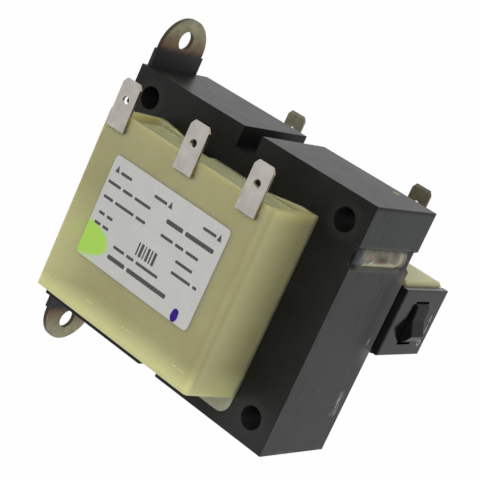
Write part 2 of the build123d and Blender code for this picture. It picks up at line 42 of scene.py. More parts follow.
# Camera of the photograph, in the part's frame
EYE = Vector((-105.69, -329.78, 264.28)) * MM
VIEW_RIGHT = Vector((-0.40143, 0.58882, 0.70153))
VIEW_UP = Vector((-0.88218, -0.04268, -0.46898))
VIEW_AWAY = Vector((0.24620, 0.80714, -0.53658))
LENS = 113.83
SENSOR = 36.0
NEAR_CLIP = 10 * MM

# Light and floor, in metres and watts
FLOOR_SIZE = 6.0
FLOOR_DROP = 0.2 * MM
FLOOR_TONE = 0.9
FLOOR_WHITE = 0.985
WORLD_LIGHT = 0.57
KEY_PLACE = Vector((-0.4, -0.9, 0.28))
KEY_SIZE = 0.6
KEY_POWER = 3.9
AIM = Vector((0, 0, 45)) * MM


def corners(name):
    """Lowest and highest corner of a CAD piece, in millimetres."""
    return [Vector(corner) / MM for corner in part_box(name)]


# Faces that the finishes and the printing refer to, in millimetres
CORE_LOW, CORE_HIGH = corners("e_lamination_stack")
CORE_END = CORE_HIGH.x
CORE_FRONT = CORE_LOW.y
CORE_SIDE = CORE_HIGH.z
CORE_MIDDLE = (CORE_LOW.z + CORE_HIGH.z) / 2
CORE_HALF = (CORE_HIGH.z - CORE_LOW.z) / 2
CENTRE_LEG = 2 * CORE_HALF / 3
HOLE_INSET = CENTRE_LEG / 4
HOLE_X = CORE_END - HOLE_INSET
HOLE_LOW_Z = CORE_LOW.z + HOLE_INSET
HOLE_HIGH_Z = CORE_HIGH.z - HOLE_INSET
COVER_LOW, COVER_HIGH = corners("front_cover")
COVER_FACE = COVER_LOW.y
COVER_LIP = COVER_HIGH.x
COVER_RIM = -COVER_LIP
LABEL_FACE = corners("rating_label")[0].y
BREAKER_LOW, BREAKER_HIGH = corners("breaker_case")
BREAKER_MIDDLE = (BREAKER_LOW + BREAKER_HIGH) / 2
BEZEL_FACE = BREAKER_HIGH.z

# Sheets, varnish and weld, and how deep or far the marks on them reach, in millimetres
SHEET_PITCH = 0.5
VARNISH_END = 41.3
SIDE_SKIN = 0.1
SIDE_DEEP = 0.6
WELD_LEVEL = 86.0
WELD_DEEP = 3.0
COVER_REACH = 40.0
THROUGH = 100.0

# Usual range of the noise, and the size of the spots in which ridges drift, in millimetres
NOISE_LOW = 0.32
NOISE_HIGH = 0.68
DRIFT_SIZE = 1 / 0.35

# Directions that faces look along and lines are drawn across
ALONG_X = (1.0, 0.0, 0.0)
ALONG_Y = (0.0, 1.0, 0.0)
ALONG_Z = (0.0, 0.0, 1.0)

# Printing and moulded marks, in millimetres: down the label is +X and across it is +Z
INK = 0.012
THIN_Y = 1
THIN_Z = 2
WORD_GAP = 0.9
WORD_CORNER = 0.3
SMALL_PRINT = 0.8
LARGE_PRINT = 1.2
POINTER_WIDE = 1.5
POINTERS = ((-14.75, -12.8, 25.95), (-14.55, -12.7, 45.9), (-14.6, -12.7, 63.4))
PRINTED_ROWS = (
    (-13.3, 27.3, 31.4, SMALL_PRINT, (1,)),
    (-13.25, 40.0, 44.6, SMALL_PRINT, (1,)),
    (-13.4, 57.6, 62.2, SMALL_PRINT, (1,)),
    (-9.75, 24.4, 40.4, SMALL_PRINT, (4, 3, 5)),
    (-5.75, 24.9, 40.7, SMALL_PRINT, (3, 6, 3)),
    (-1.45, 25.5, 30.7, SMALL_PRINT, (2, 2)),
    (1.4, 25.4, 30.7, SMALL_PRINT, (2, 2)),
    (-9.6, 46.5, 63.3, LARGE_PRINT, (3, 5)),
    (-5.7, 46.6, 60.1, SMALL_PRINT, (3, 2, 3)),
    (-2.2, 54.0, 60.0, SMALL_PRINT, (1,)),
    (0.8, 54.1, 63.2, SMALL_PRINT, (5, 1)),
    (4.2, 34.4, 51.0, SMALL_PRINT, (3, 2, 6)),
    (7.2, 33.8, 55.6, LARGE_PRINT, (4, 9)),
)
BAR_TOP = -1.0
BAR_FOOT = 2.6
BAR_CORNER = 0.1
BARS = ((41.6, 0.5), (42.6, 0.9), (44.0, 0.4), (45.0, 0.8), (46.3, 0.5), (47.3, 0.9))
BEZEL_BAR = (-7.0, -5.0, 34.5, 34.9)
BEZEL_DASH = (-4.0, -1.4, 34.75, 35.1)
BEZEL_CORNER = 0.12
RING_X = 1.6
RING_Y = 34.6
RING_RADIUS = 0.75
RING_LINE = 0.34
DASH_TOP = 20.25
DASH_FOOT = 20.65
DASH_RISE = 0.1
DASH_CORNER = 0.15
DASHES = ((18.9, 19.6), (20.0, 20.7), (33.2, 34.0), (34.4, 35.7), (46.8, 47.9), (48.5, 49.1), (49.6, 50.4),
          (66.0, 67.1), (67.8, 70.0))


# Shader nodes

def linear(screen):
    """Colour of screen values from 0 to 255, as the shader wants it."""
    shares = [value / 255 for value in screen]
    return tuple(s / 12.92 if s < 0.04045 else ((s + 0.055) / 1.055) ** 2.4 for s in shares) + (1.0,)


def plug(tree, socket, value):
    """Links a socket to another node's result, or sets it to a plain value."""
    if isinstance(value, bpy.types.NodeSocket):
        tree.links.new(value, socket)
    else:
        socket.default_value = value


def node(tree, kind, inputs=None, **settings):
    """New shader node with its settings, and each input linked or set."""
    made = tree.nodes.new("ShaderNode" + kind)
    for name, value in settings.items():
        setattr(made, name, value)
    for name, value in (inputs or {}).items():
        plug(tree, made.inputs[name], value)
    return made


def maths(tree, operation, first, second=0.0):
    """Result of an operation on two values, or on one."""
    return node(tree, "Math", {0: first, 1: second}, operation=operation).outputs[0]


def times(tree, first, second):
    """Product of two values."""
    return maths(tree, "MULTIPLY", first, second)


def vector(tree, operation, first, second=(0.0, 0.0, 0.0)):
    """Result of an operation on vectors; a length or a dot product comes out as a plain value."""
    made = node(tree, "VectorMath", {0: first, 1: second}, operation=operation)
    return made.outputs["Value" if operation in ("LENGTH", "DOT_PRODUCT") else "Vector"]


def span(tree, value, start, end, at_start=0.0, at_end=1.0, kind="LINEAR"):
    """Goes from one value to another while the given one goes from start to end."""
    ends = {"Value": value, "From Min": start, "From Max": end, "To Min": at_start, "To Max": at_end}
    return node(tree, "MapRange", ends, interpolation_type=kind).outputs[0]


def noise(tree, place, size, detail, roughness=0.5):
    """Noise whose spots have about this size."""
    scale = maths(tree, "DIVIDE", 1.0, size)
    made = node(tree, "TexNoise", {"Vector": place, "Scale": scale, "Detail": detail, "Roughness": roughness})
    return made.outputs["Fac"]


def millimetres(tree):
    """The piece's own coordinates in millimetres."""
    place = node(tree, "TexCoord").outputs["Object"]
    return vector(tree, "MULTIPLY", place, (1 / MM, 1 / MM, 1 / MM))


def coordinate(tree, axis):
    """One of the piece's own coordinates in millimetres."""
    return node(tree, "SeparateXYZ", {0: millimetres(tree)}).outputs[axis]


def blend(tree, mask, under, over):
    """One colour over another by a mask."""
    made = node(tree, "Mix", {"Factor": mask}, data_type="RGBA")
    first, second = [socket for socket in made.inputs if socket.type == "RGBA"]
    plug(tree, first, under)
    plug(tree, second, over)
    return [socket for socket in made.outputs if socket.type == "RGBA"][0]


def stain(tree, under, mask, tint, share=1.0):
    """Lays a screen colour over another colour by a share of a mask."""
    if share < 1.0:
        mask = times(tree, mask, share)
    return blend(tree, mask, under, linear(tint))


def bump(tree, height, depth, **over):
    """Normal of a height whose full step is this many millimetres deep, laid over another Normal if given."""
    return node(tree, "Bump", {"Height": height, "Distance": depth * MM, **over}).outputs["Normal"]


# Shader groups, each an effect that several finishes share

def new_group(name, result, **inputs):
    """Empty shader group with one result: its tree, its inside inputs and its inside result."""
    tree = bpy.data.node_groups.new(name, "ShaderNodeTree")
    for label, value in inputs.items():
        kind = "NodeSocketVector" if isinstance(value, tuple) else "NodeSocketFloat"
        tree.interface.new_socket(label, in_out="INPUT", socket_type=kind).default_value = value
    tree.interface.new_socket(result, in_out="OUTPUT", socket_type="NodeSocketFloat")
    return tree, tree.nodes.new("NodeGroupInput").outputs, tree.nodes.new("NodeGroupOutput").inputs[result]


def make_mottle():
    """Cloudy variation: spots of a size, from a low value to a high one."""
    tree, given, result = new_group("Mottle", "Value", Size=5.0, Low=0.0, High=1.0)
    clouds = noise(tree, millimetres(tree), given["Size"], detail=4.0, roughness=0.6)
    tree.links.new(span(tree, clouds, NOISE_LOW, NOISE_HIGH, given["Low"], given["High"]), result)
    return tree


def roughened(tree, away, place, given):
    """Distance made uneven by noise, for a ragged rim."""
    uneven = maths(tree, "SUBTRACT", noise(tree, place, given["Grain"], detail=3.0), 0.5)
    return maths(tree, "ADD", away, times(tree, uneven, times(tree, given["Ragged"], 2.0)))


def make_blot():
    """Ragged spot about a centre, with a reach along each axis."""
    tree, given, result = new_group("Blot", "Mask", Centre=(0.0, 0.0, 0.0), Reach=(1.0, 1.0, 1.0),
                                    Ragged=0.3, Grain=2.0, Soft=0.3)
    place = millimetres(tree)
    offset = vector(tree, "SUBTRACT", place, given["Centre"])
    away = vector(tree, "LENGTH", vector(tree, "DIVIDE", offset, given["Reach"]))
    near = maths(tree, "SUBTRACT", 1.0, given["Soft"])
    rim = roughened(tree, away, place, given)
    tree.links.new(span(tree, rim, near, 1.0, 1.0, 0.0, "SMOOTHSTEP"), result)
    return tree


def make_patch():
    """Rounded rectangular spot about a centre, with half its size along each axis and a ragged rim."""
    tree, given, result = new_group("Patch", "Mask", Centre=(0.0, 0.0, 0.0), Half=(1.0, 1.0, 1.0),
                                    Ragged=0.3, Grain=2.0, Soft=0.3)
    place = millimetres(tree)
    offset = vector(tree, "ABSOLUTE", vector(tree, "SUBTRACT", place, given["Centre"]))
    outside = vector(tree, "MAXIMUM", vector(tree, "SUBTRACT", offset, given["Half"]))
    rim = roughened(tree, vector(tree, "LENGTH", outside), place, given)
    tree.links.new(span(tree, rim, 0.0, given["Soft"], 1.0, 0.0, "SMOOTHSTEP"), result)
    return tree


def make_ridges():
    """Fine parallel ridges across a direction, with a little unevenness."""
    tree, given, result = new_group("Ridges", "Height", Across=ALONG_Y, Pitch=0.5, Wander=0.2)
    place = millimetres(tree)
    along = vector(tree, "DOT_PRODUCT", place, given["Across"])
    drift = times(tree, noise(tree, place, DRIFT_SIZE, detail=2.0), given["Wander"])
    turns = maths(tree, "DIVIDE", maths(tree, "ADD", along, drift), given["Pitch"])
    wave = maths(tree, "SINE", times(tree, turns, 2 * math.pi))
    tree.links.new(span(tree, wave, -1.0, 1.0), result)
    return tree


def make_streaks():
    """Marks drawn out along an axis: their size, the share of noise that leaves them out, and a soft rim."""
    tree, given, result = new_group("Streaks", "Mask", Size=(8.0, 1.0, 1.0), Bare=0.6, Soft=0.1)
    drawn = vector(tree, "DIVIDE", millimetres(tree), given["Size"])
    full = maths(tree, "ADD", given["Bare"], given["Soft"])
    tree.links.new(span(tree, noise(tree, drawn, 1.0, detail=3.0), given["Bare"], full), result)
    return tree


def make_facing():
    """1 on faces that look along an axis, either way, and 0 on those turned away from it."""
    tree, given, result = new_group("Facing", "Mask", Axis=ALONG_Z, Turned=0.6, Square=0.8)
    normal = node(tree, "TexCoord").outputs["Normal"]
    share = maths(tree, "ABSOLUTE", vector(tree, "DOT_PRODUCT", normal, given["Axis"]))
    tree.links.new(span(tree, share, given["Turned"], given["Square"]), result)
    return tree


MOTTLE = make_mottle()
BLOT = make_blot()
PATCH = make_patch()
RIDGES = make_ridges()
STREAKS = make_streaks()
FACING = make_facing()


def effect(tree, group, **values):
    """Result of a shader group that is placed in a finish with its own values."""
    inputs = {name.capitalize(): value for name, value in values.items()}
    return node(tree, "Group", inputs, node_tree=group).outputs[0]


def mottle(tree, size, low=0.0, high=1.0):
    return effect(tree, MOTTLE, size=size, low=low, high=high)


def blot(tree, centre, reach, ragged, grain, soft):
    return effect(tree, BLOT, centre=centre, reach=reach, ragged=ragged, grain=grain, soft=soft)


def patch(tree, centre, half, ragged, grain, soft):
    return effect(tree, PATCH, centre=centre, half=half, ragged=ragged, grain=grain, soft=soft)


def ridges(tree, across, pitch, wander):
    return effect(tree, RIDGES, across=across, pitch=pitch, wander=wander)


def streaks(tree, size, bare, soft):
    return effect(tree, STREAKS, size=size, bare=bare, soft=soft)


def facing(tree, axis, turned=0.6, square=0.8):
    return effect(tree, FACING, axis=axis, turned=turned, square=square)


# Finishes

def finish(name):
    """New material: itself, its tree and its surface shader."""
    material = bpy.data.materials.new(name)
    material.use_nodes = True
    tree = material.node_tree
    return material, tree, tree.nodes["Principled BSDF"]


def feed(tree, shader, **values):
    """Links or sets the surface shader's inputs, named with underscores."""
    for name, value in values.items():
        plug(tree, shader.inputs[name.replace("_", " ")], value)


def clouded(tree, size, dark, light):
    """Two screen colours that pass into each other in clouds of a size."""
    return blend(tree, mottle(tree, size), linear(dark), linear(light))


def grained(tree, size, depth):
    """Normal of a fine grain."""
    return bump(tree, mottle(tree, size), depth)


def darker(screen, step):
    """Screen colour that is darker by a step."""
    return tuple(value - step for value in screen)


def deep_varnish(tree):
    """Black varnish on the sheets' faces, thinner round the core's holes and dull at one corner."""
    black = clouded(tree, 11.0, (15, 15, 14), (24, 24, 22))
    for x in (-HOLE_X, HOLE_X):
        for z in (HOLE_LOW_Z, HOLE_HIGH_Z):
            ring = blot(tree, (x, 0.0, z), (6.2, THROUGH, 6.2), ragged=0.06, grain=3.0, soft=0.35)
            black = stain(tree, black, ring, (36, 36, 34), 0.6)
    dulled = patch(tree, (CORE_END, CORE_FRONT, HOLE_HIGH_Z), (4.0, 2.0, 4.0),
                   ragged=0.3, grain=3.0, soft=12.0)
    return stain(tree, black, dulled, (48, 48, 48), 0.5)


def core_wear_and_painted_light(tree, colour):
    """Marks on the core's side: painted light on a strip beside the breaker, where the breaker's shade falls;
    the weld's heat tint, lightened further as painted light against the weld's shadow; scratches, nicks and
    rust.
    """
    # Painted light: the strip beside the breaker is lightened in place of the shade that the breaker casts on
    # the core.
    painted_light_by_breaker = patch(tree, (BREAKER_MIDDLE.x, 16.6, CORE_SIDE), (9.6, 1.0, SIDE_DEEP),
                 ragged=0.3, grain=3.0, soft=6.4)
    colour = stain(tree, colour, painted_light_by_breaker, (104, 104, 105))
    # Heat tint round the weld, partly painted light: it is lightened to cancel the weld's shadow on the core.
    weld_tint_and_painted_light = patch(tree, (-21.5, 0.4, CORE_SIDE), (2.2, 9.6, SIDE_DEEP), ragged=0.4, grain=1.4, soft=1.9)
    colour = stain(tree, colour, weld_tint_and_painted_light, (88, 88, 78))
    scraped = patch(tree, (21.4, 12.0, CORE_SIDE), (3.0, 0.7, SIDE_DEEP), ragged=0.6, grain=1.5, soft=1.3)
    scratch = times(tree, scraped, streaks(tree, (2.4, 0.4, 5.0), bare=0.53, soft=0.08))
    colour = stain(tree, colour, scratch, (160, 158, 150))
    edge = patch(tree, (CORE_END, 2.0, CORE_SIDE), (0.5, 12.0, SIDE_DEEP), ragged=0.2, grain=2.0, soft=0.5)
    nicked = times(tree, edge, streaks(tree, (0.7, 1.6, 5.0), bare=0.54, soft=0.1))
    colour = stain(tree, colour, nicked, (110, 110, 106), 0.6)
    scuff = blot(tree, (2.2, 12.3, CORE_SIDE), (1.7, 0.5, SIDE_DEEP), ragged=0.5, grain=0.8, soft=0.7)
    colour = stain(tree, colour, scuff, (150, 150, 148))
    chip = blot(tree, (-CORE_END, 11.4, 75.8), (0.8, 1.2, 1.2), ragged=0.5, grain=0.7, soft=0.5)
    colour = stain(tree, colour, chip, (168, 160, 96))
    rust = blot(tree, (-17.0, 13.5, CORE_SIDE), (3.2, 2.6, 1.0), ragged=0.5, grain=1.6, soft=0.8)
    return stain(tree, colour, rust, (104, 80, 62), 0.3)


def varnished_core(name, film):
    """Black dipping varnish: deep black on the sheets' faces, a greyer film over their edges at the sides."""
    material, tree, shader = finish(name)
    runs = times(tree, ridges(tree, (0.0, 1.0, 0.12), pitch=3.4, wander=5.0), mottle(tree, 8.0, high=0.45))
    side = stain(tree, linear(film), runs, darker(film, 16))
    from_middle = maths(tree, "ABSOLUTE", maths(tree, "SUBTRACT", coordinate(tree, "Z"), CORE_MIDDLE))
    outermost = maths(tree, "GREATER_THAN", from_middle, CORE_HALF - SIDE_SKIN)
    outer = times(tree, outermost, facing(tree, ALONG_Z))
    colour = blend(tree, outer, deep_varnish(tree), side)
    # Painted shade: a dark line along the end edge of each side face, standing for the shade on the rounded
    # edge; Metallic follows it below so that this line gives no reflection.
    from_end = maths(tree, "ADD", coordinate(tree, "X"), CORE_END)
    uneven = maths(tree, "SUBTRACT", from_end, mottle(tree, 2.0, high=0.2))
    rim = times(tree, span(tree, uneven, 0.3, 1.2, 0.95, 0.0), outer)
    colour = stain(tree, colour, rim, (14, 14, 15))
    brushed = times(tree, streaks(tree, (11.0, 1.7, 40.0), bare=0.56, soft=0.1), outer)
    colour = stain(tree, colour, brushed, darker(film, 20), 0.6)
    sheets = times(tree, ridges(tree, ALONG_Y, SHEET_PITCH, wander=0.5), 0.25)
    feed(tree, shader, Base_Color=core_wear_and_painted_light(tree, colour), Metallic=rim,
         Roughness=mottle(tree, 9.0, 0.37, 0.41), Specular_IOR_Level=0.2,
         Normal=bump(tree, maths(tree, "ADD", sheets, mottle(tree, 6.0)), 0.006))
    return material


def fused_weld():
    """Bare weld: a bright lower edge, straw and rust in the middle, fading into the varnish at its start."""
    material, tree, shader = finish("fused weld")
    colour = clouded(tree, 2.4, (98, 94, 84), (142, 138, 122))
    blush = blot(tree, (-22.4, -5.4, WELD_LEVEL), (1.5, 2.4, WELD_DEEP), ragged=0.5, grain=1.6, soft=0.9)
    colour = stain(tree, colour, blush, (152, 132, 110), 0.8)
    rust = blot(tree, (-21.3, 0.2, WELD_LEVEL), (1.7, 4.4, WELD_DEEP), ragged=0.25, grain=1.8, soft=0.8)
    colour = stain(tree, colour, rust, (82, 56, 40))
    cooled = blot(tree, (-21.2, 6.4, WELD_LEVEL), (1.3, 2.0, WELD_DEEP), ragged=0.4, grain=1.2, soft=0.8)
    colour = stain(tree, colour, cooled, (122, 118, 118), 0.7)
    lower = patch(tree, (-19.6, 0.8, WELD_LEVEL), (0.2, 7.6, WELD_DEEP), ragged=1.0, grain=1.6, soft=1.0)
    colour = stain(tree, colour, lower, (206, 202, 178))
    end = patch(tree, (-21.6, 9.2, WELD_LEVEL), (1.0, 0.2, WELD_DEEP), ragged=1.0, grain=1.2, soft=1.5)
    colour = stain(tree, colour, end, (176, 175, 142), 0.9)
    start = patch(tree, (-21.5, -14.4, WELD_LEVEL), (5.0, 3.2, WELD_DEEP), ragged=0.6, grain=1.6, soft=2.6)
    colour = stain(tree, colour, start, (36, 38, 44))
    smear = blot(tree, (-20.8, -10.0, WELD_LEVEL), (1.9, 1.8, WELD_DEEP), ragged=0.6, grain=1.0, soft=0.9)
    colour = stain(tree, colour, smear, (98, 105, 118), 0.6)
    ripple = times(tree, ridges(tree, (0.25, 1.0, 0.0), pitch=1.6, wander=4.0), 0.4)
    feed(tree, shader, Base_Color=colour, Metallic=0.1, Roughness=mottle(tree, 1.5, 0.46, 0.62),
         Specular_IOR_Level=0.3, Normal=bump(tree, maths(tree, "ADD", ripple, mottle(tree, 2.0)), 0.03))
    return material


def plated_foot():
    """Dull plated strap, varnished black where it lies under the core, heat-tinted at the varnish's edge."""
    material, tree, shader = finish("plated foot")
    along = maths(tree, "ABSOLUTE", coordinate(tree, "X"))
    uneven = maths(tree, "ADD", along, mottle(tree, 3.0, -0.3, 0.3))
    steel = clouded(tree, 2.2, (122, 118, 94), (152, 148, 122))
    tint = span(tree, uneven, VARNISH_END + 0.5, VARNISH_END + 6.0, 1.0, 0.0)
    steel = stain(tree, steel, tint, (104, 84, 66))
    cut_edge = maths(tree, "SUBTRACT", 1.0, facing(tree, ALONG_Z))
    steel = stain(tree, steel, cut_edge, (52, 46, 30), 0.85)
    bare = span(tree, uneven, VARNISH_END - 0.9, VARNISH_END + 0.8)
    feed(tree, shader, Base_Color=blend(tree, bare, linear((15, 15, 15)), steel),
         Metallic=times(tree, bare, 0.85), Roughness=mottle(tree, 2.5, 0.36, 0.52),
         Specular_IOR_Level=0.3, Normal=grained(tree, 0.9, 0.015))
    return material


def glow_cover(tree, colour):
    """Ivory with painted light and shade: paler side walls, a painted glow along the lip and at one end, a
    lit tray floor, and painted shade along the front's side edge and top rim.
    """
    depth = maths(tree, "ABSOLUTE", coordinate(tree, "Y"))
    # Painted light: the side walls are paler towards the front, where more light falls on them.
    outward = times(tree, span(tree, depth, 18.0, 33.0), span(tree, depth, 32.0, 35.0, 1.0, 0.3))
    walls = times(tree, outward, facing(tree, ALONG_Z, 0.9, 1.0))
    colour = stain(tree, colour, walls, (211, 206, 149))
    # Painted shade along the front's side edge and its top rim, darkening the bright lines these edges would
    # show.
    corner = patch(tree, (0.0, COVER_FACE, COVER_HIGH.z), (COVER_REACH, 0.2, 0.2),
                   ragged=0.2, grain=6.0, soft=2.8)
    rim = patch(tree, (COVER_RIM, COVER_FACE, CORE_MIDDLE), (0.2, 0.6, COVER_REACH),
                ragged=0.2, grain=6.0, soft=2.6)
    painted_edge_shade = maths(tree, "MAXIMUM", times(tree, corner, 0.45), times(tree, rim, 0.25))
    colour = stain(tree, colour, painted_edge_shade, (144, 140, 100))
    # Painted glow along the lip and at the low-Z end, and painted light on the tray floor, which lies in
    # shade.
    lip = patch(tree, (COVER_LIP, COVER_FACE, CORE_MIDDLE), (1.8, THROUGH, COVER_REACH),
                ragged=0.5, grain=6.0, soft=8.2)
    end = patch(tree, (COVER_LIP, COVER_FACE, COVER_LOW.z), (18.0, THROUGH, 0.3),
                ragged=0.5, grain=6.0, soft=18.0)
    pale = maths(tree, "MAXIMUM", lip, times(tree, end, 0.5))
    pale = times(tree, pale, maths(tree, "SUBTRACT", 1.0, times(tree, corner, 0.15)))
    past_rim = maths(tree, "GREATER_THAN", coordinate(tree, "X"), COVER_RIM + 1.5)
    tray = times(tree, past_rim, facing(tree, ALONG_X))
    pale = maths(tree, "MAXIMUM", pale, times(tree, tray, 0.9))
    return stain(tree, colour, pale, (224, 220, 157))


def moulded_cover():
    """Ivory nylon: satin, letting light through its thin walls, with soft edges, painted light on its walls,
    lip, one end and tray, and painted shade at its front edges, a seam and the pocket's brim.
    """
    material, tree, shader = finish("moulded cover")
    colour = clouded(tree, 20.0, (164, 158, 112), (173, 169, 126))
    marker = blot(tree, (5.4, COVER_FACE, 21.0), (5.0, 1.5, 3.0), ragged=0.5, grain=3.0, soft=0.9)
    colour = stain(tree, colour, marker, (158, 190, 82), 0.55)
    colour = glow_cover(tree, colour)
    # Painted shade in the seam where the pocket meets the bezel.
    painted_seam_shade = blot(tree, (5.4, 18.0, 86.2), (1.5, 2.6, 1.9), ragged=0.1, grain=2.0, soft=0.3)
    colour = stain(tree, colour, painted_seam_shade, (58, 57, 46))
    # Painted shade along the pocket's brim beside the bezel.
    painted_brim_shade = patch(tree, (-15.6, BREAKER_MIDDLE.y, 87.6), (1.6, 11.0, 0.4), ragged=0.2, grain=3.0, soft=1.0)
    colour = stain(tree, colour, painted_brim_shade, (118, 116, 84), 0.6)
    soft_edge = node(tree, "Bevel", {"Radius": 2.6 * MM}, samples=8).outputs["Normal"]
    feed(tree, shader, Base_Color=colour, Roughness=mottle(tree, 7.0, 0.34, 0.42), Subsurface_Weight=1.0,
         Subsurface_Radius=(1.0, 0.9, 0.5), Subsurface_Scale=6 * MM,
         Normal=bump(tree, mottle(tree, 0.5), 0.006, Normal=soft_edge))
    return material


def fish_paper():
    """Greyish insulation card with a fibrous face."""
    material, tree, shader = finish("insulation card")
    feed(tree, shader, Base_Color=clouded(tree, 1.6, (147, 149, 127), (163, 165, 143)), Roughness=0.62,
         Subsurface_Weight=0.2, Subsurface_Scale=2 * MM, Normal=grained(tree, 0.6, 0.02))
    return material


def tinned_tab():
    """Bright tin over brass, with the fine lines of rolling and a yellower cut edge."""
    material, tree, shader = finish("tinned tab")
    colour = clouded(tree, 3.0, (168, 164, 158), (186, 182, 175))
    colour = stain(tree, colour, facing(tree, ALONG_Z), (150, 138, 96), 0.6)
    feed(tree, shader, Base_Color=colour, Metallic=1.0, Roughness=mottle(tree, 2.2, 0.2, 0.32),
         Normal=bump(tree, ridges(tree, ALONG_Z, pitch=0.22, wander=0.8), 0.0008))
    return material


def label_stock():
    """Off-white label with a daub of marker at one corner and a spot of ink at another."""
    material, tree, shader = finish("label stock")
    colour = clouded(tree, 5.0, (190, 190, 187), (196, 196, 193))
    bleed = patch(tree, (8.6, LABEL_FACE, 25.0), (2.2, 2.0, 4.0), ragged=0.6, grain=2.6, soft=2.0)
    colour = stain(tree, colour, bleed, (176, 226, 120), 0.3)
    daub = blot(tree, (6.0, LABEL_FACE, 23.7), (5.3, 6.0, 9.7), ragged=0.16, grain=4.0, soft=0.22)
    colour = stain(tree, colour, daub, (168, 212, 90))
    spot = blot(tree, (9.7, LABEL_FACE, 60.35), (1.9, 2.0, 1.25), ragged=0.22, grain=1.6, soft=0.12)
    colour = stain(tree, colour, spot, (44, 6, 122))
    feed(tree, shader, Base_Color=colour, Roughness=0.45, Specular_IOR_Level=0.2,
         Normal=grained(tree, 0.8, 0.004))
    return material


def ink_film(name, size, dark, light, roughness):
    """Thin film of ink, a little uneven."""
    material, tree, shader = finish(name)
    feed(tree, shader, Base_Color=clouded(tree, size, dark, light), Roughness=roughness)
    return material


def black_phenolic(name, low, high, gloss):
    """Black moulding with a fine grain, its roughness between two values."""
    material, tree, shader = finish(name)
    feed(tree, shader, Base_Color=clouded(tree, 3.0, (13, 13, 13), (19, 19, 19)),
         Roughness=mottle(tree, 2.0, low, high), Specular_IOR_Level=gloss, Normal=grained(tree, 0.35, 0.003))
    return material


def metal(name, dark, light, low, high, pitch=0.4, across=ALONG_Z, depth=0.01, share=1.0):
    """Plain metal with fine lines: wire turns, drawn strip or turned steel."""
    material, tree, shader = finish(name)
    feed(tree, shader, Base_Color=clouded(tree, 2.0, dark, light), Metallic=share,
         Roughness=mottle(tree, 1.5, low, high),
         Normal=bump(tree, ridges(tree, across, pitch, wander=0.1), depth))
    return material


def dull_tin(name, dark, light):
    """Tin that has gone dull, with the fine lines of rolling."""
    return metal(name, dark, light, 0.45, 0.55, pitch=0.22, depth=0.0005, share=0.35)


def dull(name, dark, light, roughness):
    """Plain moulding or tape with a slight cloudiness."""
    material, tree, shader = finish(name)
    feed(tree, shader, Base_Color=clouded(tree, 4.0, dark, light), Roughness=roughness,
         Normal=grained(tree, 0.5, 0.01))
    return material


def dress(material, *names):
    """Gives CAD pieces their finish."""
    for name in names:
        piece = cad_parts[name]
        piece.data.materials.clear()
        piece.data.materials.append(material)


dress(varnished_core("core varnish", (47, 47, 48)), "e_lamination_stack")
dress(varnished_core("cooler core varnish", (43, 46, 47)), "i_lamination_stack")
dress(fused_weld(), "weld_bead_upper", "weld_bead_lower")
dress(plated_foot(), "mounting_foot")
dress(moulded_cover(), "front_cover", "rear_cover")
dress(fish_paper(), "front_insulation_card", "rear_insulation_card")
dress(tinned_tab(), "primary_tab_common", "primary_tab_low", "primary_tab_high")
dress(dull_tin("dulled tin", (112, 113, 90), (128, 129, 108)), "secondary_tab_direct")
# The protected tab's copy is darker: painted shade, for the shade it lies in near the core.
dress(dull_tin("tin in painted shade", (86, 82, 64), (100, 96, 78)), "secondary_tab_protected")
dress(label_stock(), "rating_label")
dress(black_phenolic("breaker case", 0.12, 0.18, gloss=0.22), "breaker_case")
dress(black_phenolic("breaker rocker", 0.22, 0.3, gloss=0.08), "breaker_rocker")
dress(metal("enamelled wire", (150, 78, 40), (176, 98, 52), 0.22, 0.32, pitch=0.5, across=ALONG_X, depth=0.2),
      "primary_winding", "secondary_winding")
dress(dull("winding tape", (206, 178, 96), (216, 190, 112), 0.4), "winding_barrier", "outer_wrap")
dress(dull("bobbin nylon", (200, 196, 168), (210, 206, 180), 0.45), "bobbin")
dress(metal("lead copper", (190, 118, 80), (205, 132, 92), 0.25, 0.35),
      "primary_lead_common", "primary_lead_low", "primary_lead_high",
      "secondary_lead_direct", "secondary_lead_breaker", "breaker_jumper")
dress(dull("breaker base", (38, 38, 38), (46, 46, 46), 0.6), "breaker_base")
dress(metal("terminal brass", (196, 164, 92), (208, 178, 108), 0.25, 0.38), "line_terminal", "load_terminal")
dress(metal("contact silver", (212, 210, 206), (224, 222, 218), 0.2, 0.3), "fixed_contact", "moving_contact")
dress(metal("spring steel", (150, 150, 152), (168, 168, 170), 0.25, 0.4),
      "rocker_pin", "bimetal_blade", "snap_spring")


# Printing and moulded marks

def plate(x0, x1, y0, y1, z0, z1):
    """Thin plate between two corners, given in millimetres."""
    bpy.ops.object.select_all(action="DESELECT")
    low = Vector((x0, y0, z0)) * MM
    high = Vector((x1, y1, z1)) * MM
    bpy.ops.mesh.primitive_cube_add(size=1.0, location=(low + high) / 2)
    piece = bpy.context.active_object
    piece.scale = high - low
    bpy.ops.object.transform_apply(location=True, rotation=False, scale=True)
    return piece


def on_label(top, foot, start, end):
    """Thin plate of ink on the label."""
    return plate(top, foot, LABEL_FACE - INK, LABEL_FACE + INK, start, end)


def round_outline(piece, thin, corner):
    """Rounds the corners of a plate's outline, seen along its thin axis."""
    bpy.ops.object.mode_set(mode="EDIT")
    bpy.ops.mesh.select_all(action="DESELECT")
    shape = bmesh.from_edit_mesh(piece.data)
    for edge in shape.edges:
        run = edge.verts[1].co - edge.verts[0].co
        edge.select_set(abs(run[thin]) > 0.9 * run.length)
    bmesh.update_edit_mesh(piece.data)
    bpy.ops.mesh.bevel(offset=corner * MM, segments=2, affect="EDGES")
    bpy.ops.object.mode_set(mode="OBJECT")
    return piece


